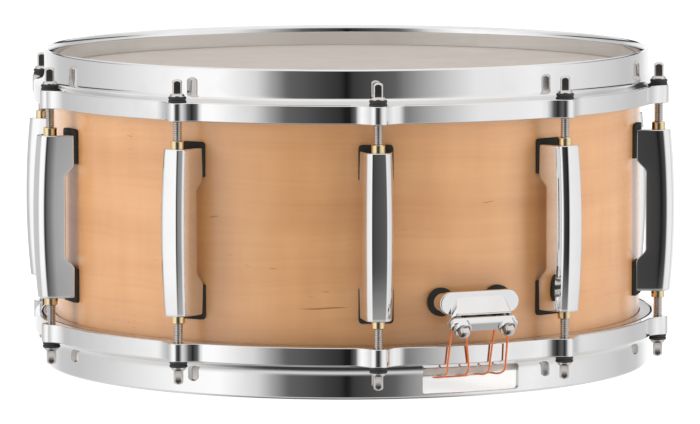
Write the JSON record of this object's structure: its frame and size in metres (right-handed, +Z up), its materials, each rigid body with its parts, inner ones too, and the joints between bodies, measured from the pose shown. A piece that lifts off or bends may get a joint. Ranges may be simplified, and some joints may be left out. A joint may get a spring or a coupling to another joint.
{
  "type": "snare drum",
  "caption": "Wooden snare drum with die-cast hoops, bridge lugs, square-headed tension rods, snare wires on cords, a butt plate and a throw-off strainer.",
  "frame": {"origin": "on the drum's axis, at the plane of the snare-side hoop's rim, on which the drum stands", "axes": "+Z up along the drum's axis towards the batter head; -Y points to the butt plate and +Y to the strainer"},
  "size_m": [0.4024, 0.4114, 0.1908],
  "materials": {
    "maple": "satin natural maple",
    "chrome": "polished chrome plate on cast metal",
    "chrome_steel": "chrome plated steel",
    "brass": "turned brass",
    "black_nylon": "moulded",
    "black_rubber": "matt",
    "coated_film": "sprayed coating",
    "clear_film": "hazy clear",
    "flesh_aluminium": "drawn",
    "snare_steel": "bright wire",
    "zinc_steel": "zinc plated",
    "orange_cord": "braided"
  },
  "bodies": {
    "drum": {"shell": "maple", "vent_grommet": "chrome", "batter_head_film": "coated_film", "batter_head_hoop": "flesh_aluminium", "snare_head_film": "clear_film", "snare_head_hoop": "flesh_aluminium", "lug_gaskets": "black_rubber", "swivel_nuts": "brass", "mounting_screws": "zinc_steel", "mounting_washers": "zinc_steel", "butt_base": "chrome", "butt_gaskets": "black_rubber", "butt_clamp_plate": "chrome", "butt_clamp_screws": "chrome_steel", "butt_cords": "orange_cord", "snare_wires": "snare_steel", "snare_end_plates": "snare_steel", "strainer_base": "chrome", "strainer_gasket": "black_rubber", "strainer_lever_pin": "chrome_steel", "strainer_cords": "orange_cord", "lug_1": "chrome", "lug_2": "chrome", "lug_3": "chrome", "lug_4": "chrome", "lug_5": "chrome", "lug_6": "chrome", "lug_7": "chrome", "lug_8": "chrome", "lug_9": "chrome", "lug_10": "chrome"},
    "batter_hoop": {"batter_hoop": "chrome", "batter_rod_washers": "black_nylon"},
    "snare_hoop": {"snare_hoop": "chrome", "snare_rod_washers": "black_nylon"},
    "strainer_carriage": {"strainer_carriage": "chrome", "strainer_clamp_plate": "chrome", "strainer_clamp_screws": "chrome_steel"},
    "strainer_lever": {"strainer_lever": "chrome"},
    "strainer_knob": {"strainer_knob": "chrome_steel"},
    "batter_rod_1": {"batter_rod_1": "chrome_steel"},
    "batter_rod_2": {"batter_rod_2": "chrome_steel"},
    "batter_rod_3": {"batter_rod_3": "chrome_steel"},
    "batter_rod_4": {"batter_rod_4": "chrome_steel"},
    "batter_rod_5": {"batter_rod_5": "chrome_steel"},
    "batter_rod_6": {"batter_rod_6": "chrome_steel"},
    "batter_rod_7": {"batter_rod_7": "chrome_steel"},
    "batter_rod_8": {"batter_rod_8": "chrome_steel"},
    "batter_rod_9": {"batter_rod_9": "chrome_steel"},
    "batter_rod_10": {"batter_rod_10": "chrome_steel"},
    "snare_rod_1": {"snare_rod_1": "chrome_steel"},
    "snare_rod_2": {"snare_rod_2": "chrome_steel"},
    "snare_rod_3": {"snare_rod_3": "chrome_steel"},
    "snare_rod_4": {"snare_rod_4": "chrome_steel"},
    "snare_rod_5": {"snare_rod_5": "chrome_steel"},
    "snare_rod_6": {"snare_rod_6": "chrome_steel"},
    "snare_rod_7": {"snare_rod_7": "chrome_steel"},
    "snare_rod_8": {"snare_rod_8": "chrome_steel"},
    "snare_rod_9": {"snare_rod_9": "chrome_steel"},
    "snare_rod_10": {"snare_rod_10": "chrome_steel"}
  },
  "joints": [
    {"name": "batter_hoop_lift", "type": "slide", "parent": "drum", "child": "batter_hoop", "axis": [0, 0, 1], "range_m": [0, 0.002]},
    {"name": "snare_hoop_lift", "type": "slide", "parent": "drum", "child": "snare_hoop", "axis": [0, 0, -1], "range_m": [0, 0.002]},
    {"name": "strainer_lever_swing", "type": "hinge", "parent": "drum", "child": "strainer_lever", "pos_m": [0, 0.1978, 0.098], "axis": [-1, 0, 0], "range_deg": [0, 120]},
    {"name": "strainer_carriage_drop", "type": "slide", "parent": "drum", "child": "strainer_carriage", "axis": [0, 0, -1], "range_m": [0, 0.0045], "deforming": ["strainer_cords"]},
    {"name": "strainer_knob_turn", "type": "hinge", "parent": "strainer_carriage", "child": "strainer_knob", "pos_m": [0, 0.187, 0.119], "axis": [0, 0, 1], "continuous": true},
    {"name": "batter_rod_1_turn", "type": "hinge", "parent": "batter_hoop", "child": "batter_rod_1", "pos_m": [0.05924, -0.18232, 0.175], "axis": [0, 0, 1], "range_deg": [0, 684.5]},
    {"name": "batter_rod_2_turn", "type": "hinge", "parent": "batter_hoop", "child": "batter_rod_2", "pos_m": [0.15509, -0.11268, 0.175], "axis": [0, 0, 1], "range_deg": [0, 684.5]},
    {"name": "batter_rod_3_turn", "type": "hinge", "parent": "batter_hoop", "child": "batter_rod_3", "pos_m": [0.1917, 0, 0.175], "axis": [0, 0, 1], "range_deg": [0, 684.5]},
    {"name": "batter_rod_4_turn", "type": "hinge", "parent": "batter_hoop", "child": "batter_rod_4", "pos_m": [0.15509, 0.11268, 0.175], "axis": [0, 0, 1], "range_deg": [0, 684.5]},
    {"name": "batter_rod_5_turn", "type": "hinge", "parent": "batter_hoop", "child": "batter_rod_5", "pos_m": [0.05924, 0.18232, 0.175], "axis": [0, 0, 1], "range_deg": [0, 684.5]},
    {"name": "batter_rod_6_turn", "type": "hinge", "parent": "batter_hoop", "child": "batter_rod_6", "pos_m": [-0.05924, 0.18232, 0.175], "axis": [0, 0, 1], "range_deg": [0, 684.5]},
    {"name": "batter_rod_7_turn", "type": "hinge", "parent": "batter_hoop", "child": "batter_rod_7", "pos_m": [-0.15509, 0.11268, 0.175], "axis": [0, 0, 1], "range_deg": [0, 684.5]},
    {"name": "batter_rod_8_turn", "type": "hinge", "parent": "batter_hoop", "child": "batter_rod_8", "pos_m": [-0.1917, 0, 0.175], "axis": [0, 0, 1], "range_deg": [0, 684.5]},
    {"name": "batter_rod_9_turn", "type": "hinge", "parent": "batter_hoop", "child": "batter_rod_9", "pos_m": [-0.15509, -0.11268, 0.175], "axis": [0, 0, 1], "range_deg": [0, 684.5]},
    {"name": "batter_rod_10_turn", "type": "hinge", "parent": "batter_hoop", "child": "batter_rod_10", "pos_m": [-0.05924, -0.18232, 0.175], "axis": [0, 0, 1], "range_deg": [0, 684.5]},
    {"name": "snare_rod_1_turn", "type": "hinge", "parent": "snare_hoop", "child": "snare_rod_1", "pos_m": [0.05924, -0.18232, 0.0158], "axis": [0, 0, -1], "range_deg": [0, 684.5]},
    {"name": "snare_rod_2_turn", "type": "hinge", "parent": "snare_hoop", "child": "snare_rod_2", "pos_m": [0.15509, -0.11268, 0.0158], "axis": [0, 0, -1], "range_deg": [0, 684.5]},
    {"name": "snare_rod_3_turn", "type": "hinge", "parent": "snare_hoop", "child": "snare_rod_3", "pos_m": [0.1917, 0, 0.0158], "axis": [0, 0, -1], "range_deg": [0, 684.5]},
    {"name": "snare_rod_4_turn", "type": "hinge", "parent": "snare_hoop", "child": "snare_rod_4", "pos_m": [0.15509, 0.11268, 0.0158], "axis": [0, 0, -1], "range_deg": [0, 684.5]},
    {"name": "snare_rod_5_turn", "type": "hinge", "parent": "snare_hoop", "child": "snare_rod_5", "pos_m": [0.05924, 0.18232, 0.0158], "axis": [0, 0, -1], "range_deg": [0, 684.5]},
    {"name": "snare_rod_6_turn", "type": "hinge", "parent": "snare_hoop", "child": "snare_rod_6", "pos_m": [-0.05924, 0.18232, 0.0158], "axis": [0, 0, -1], "range_deg": [0, 684.5]},
    {"name": "snare_rod_7_turn", "type": "hinge", "parent": "snare_hoop", "child": "snare_rod_7", "pos_m": [-0.15509, 0.11268, 0.0158], "axis": [0, 0, -1], "range_deg": [0, 684.5]},
    {"name": "snare_rod_8_turn", "type": "hinge", "parent": "snare_hoop", "child": "snare_rod_8", "pos_m": [-0.1917, 0, 0.0158], "axis": [0, 0, -1], "range_deg": [0, 684.5]},
    {"name": "snare_rod_9_turn", "type": "hinge", "parent": "snare_hoop", "child": "snare_rod_9", "pos_m": [-0.15509, -0.11268, 0.0158], "axis": [0, 0, -1], "range_deg": [0, 684.5]},
    {"name": "snare_rod_10_turn", "type": "hinge", "parent": "snare_hoop", "child": "snare_rod_10", "pos_m": [-0.05924, -0.18232, 0.0158], "axis": [0, 0, -1], "range_deg": [0, 684.5]}
  ],
  "couplings": [
    {"joint": "strainer_lever_swing", "follows": "strainer_carriage_drop", "rad_per_m": 465.42},
    {"joint": "batter_rod_1_turn", "follows": "batter_hoop_lift", "rad_per_m": 5938.7},
    {"joint": "batter_rod_2_turn", "follows": "batter_hoop_lift", "rad_per_m": 5938.7},
    {"joint": "batter_rod_3_turn", "follows": "batter_hoop_lift", "rad_per_m": 5938.7},
    {"joint": "batter_rod_4_turn", "follows": "batter_hoop_lift", "rad_per_m": 5938.7},
    {"joint": "batter_rod_5_turn", "follows": "batter_hoop_lift", "rad_per_m": 5938.7},
    {"joint": "batter_rod_6_turn", "follows": "batter_hoop_lift", "rad_per_m": 5938.7},
    {"joint": "batter_rod_7_turn", "follows": "batter_hoop_lift", "rad_per_m": 5938.7},
    {"joint": "batter_rod_8_turn", "follows": "batter_hoop_lift", "rad_per_m": 5938.7},
    {"joint": "batter_rod_9_turn", "follows": "batter_hoop_lift", "rad_per_m": 5938.7},
    {"joint": "batter_rod_10_turn", "follows": "batter_hoop_lift", "rad_per_m": 5938.7},
    {"joint": "snare_rod_1_turn", "follows": "snare_hoop_lift", "rad_per_m": 5938.7},
    {"joint": "snare_rod_2_turn", "follows": "snare_hoop_lift", "rad_per_m": 5938.7},
    {"joint": "snare_rod_3_turn", "follows": "snare_hoop_lift", "rad_per_m": 5938.7},
    {"joint": "snare_rod_4_turn", "follows": "snare_hoop_lift", "rad_per_m": 5938.7},
    {"joint": "snare_rod_5_turn", "follows": "snare_hoop_lift", "rad_per_m": 5938.7},
    {"joint": "snare_rod_6_turn", "follows": "snare_hoop_lift", "rad_per_m": 5938.7},
    {"joint": "snare_rod_7_turn", "follows": "snare_hoop_lift", "rad_per_m": 5938.7},
    {"joint": "snare_rod_8_turn", "follows": "snare_hoop_lift", "rad_per_m": 5938.7},
    {"joint": "snare_rod_9_turn", "follows": "snare_hoop_lift", "rad_per_m": 5938.7},
    {"joint": "snare_rod_10_turn", "follows": "snare_hoop_lift", "rad_per_m": 5938.7}
  ]
}
